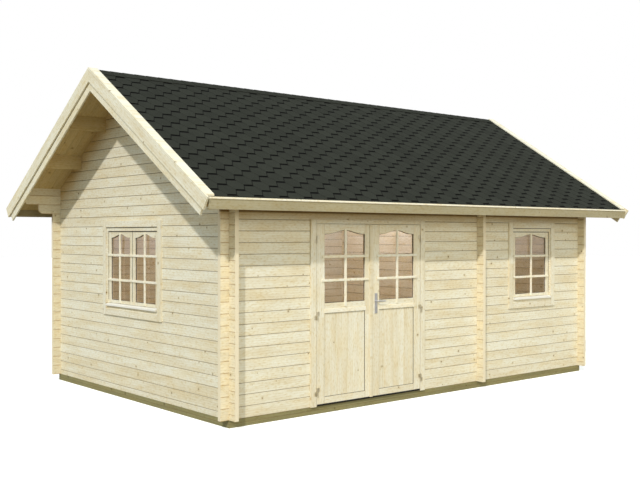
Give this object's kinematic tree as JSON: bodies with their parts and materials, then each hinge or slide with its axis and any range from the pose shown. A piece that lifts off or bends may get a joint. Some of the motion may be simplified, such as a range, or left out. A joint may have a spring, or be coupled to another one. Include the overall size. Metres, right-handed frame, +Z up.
{
  "type": "log cabin",
  "caption": "Rectangular pine log cabin with notched corners, double glazed door, two windows and a shingled saddle roof.",
  "frame": {"origin": "middle of the plan at ground level, under the foundation beams", "axes": "+Z up; +X along the ridge; the long wall with the double door faces -Y and the gable with the double window faces -X"},
  "size_m": [6.8506, 4.714, 3.683],
  "materials": {
    "log_pine": "planed pale pine, unpainted",
    "roof_timber": "planed pale spruce",
    "treated_timber": "pressure treated, olive green",
    "floor_board": "planed spruce boards",
    "bitumen_shingle": "mineral granules on bitumen felt, dark grey green",
    "trim_pine": "planed pale pine boards",
    "door_pine": "planed pale pine joinery",
    "window_pine": "planed pale pine joinery",
    "sill_primed": "grey primed",
    "clear_glass": "clear pane",
    "hinge_steel": "zinc plated",
    "handle_metal": "satin silver"
  },
  "bodies": {
    "cabin": {"front_wall_left": "log_pine", "front_wall_base": "log_pine", "front_wall_middle": "log_pine", "front_wall_right": "log_pine", "front_wall_top": "log_pine", "rear_wall": "log_pine", "left_gable_base": "log_pine", "left_gable_front_side": "log_pine", "left_gable_rear_side": "log_pine", "left_gable_top": "log_pine", "left_gable_triangle": "log_pine", "right_gable_wall": "log_pine", "right_gable_triangle": "log_pine", "partition_front": "log_pine", "partition_rear": "log_pine", "partition_top": "log_pine", "purlins": "roof_timber", "roof_deck_front": "roof_timber", "roof_deck_rear": "roof_timber", "foundation_beams": "treated_timber", "floor_joists": "treated_timber", "floor_main_room": "floor_board", "floor_side_room": "floor_board", "roof_covering_front": "bitumen_shingle", "roof_covering_rear": "bitumen_shingle", "ridge_cap": "bitumen_shingle", "bargeboards_left": "trim_pine", "bargeboards_right": "trim_pine", "backing_boards_left": "trim_pine", "backing_boards_right": "trim_pine", "gable_edge_strips": "trim_pine", "fascia_front": "trim_pine", "fascia_rear": "trim_pine", "door_frame": "door_pine", "front_window_frame": "window_pine", "front_window_sash": "window_pine", "gable_window_frame": "window_pine", "gable_window_sashes": "window_pine", "window_sills": "sill_primed", "front_window_glass": "clear_glass", "gable_window_glass": "clear_glass", "door_hinge_pins": "hinge_steel"},
    "left_leaf": {"door_leaf_left": "door_pine", "door_glass_left": "clear_glass", "door_astragal": "door_pine", "door_hinges_left": "hinge_steel"},
    "right_leaf": {"door_leaf_right": "door_pine", "door_glass_right": "clear_glass", "door_hinges_right": "hinge_steel", "door_handle_plates": "handle_metal"},
    "lever": {"door_lever": "handle_metal"}
  },
  "joints": [
    {"name": "left_door_hinge", "type": "hinge", "parent": "cabin", "child": "left_leaf", "pos_m": [-1.8175, -1.96, 1.0183], "axis": [0, 0, -1], "range_deg": [0, 150]},
    {"name": "right_door_hinge", "type": "hinge", "parent": "cabin", "child": "right_leaf", "pos_m": [-0.2725, -1.96, 1.0183], "axis": [0, 0, 1], "range_deg": [0, 150]},
    {"name": "door_lever_turn", "type": "hinge", "parent": "right_leaf", "child": "lever", "pos_m": [-0.973, -1.93, 1.1403], "axis": [0, 1, 0], "range_deg": [0, 40], "stiffness_Nm_per_rad": 1.2, "springref_deg": -28.65}
  ]
}
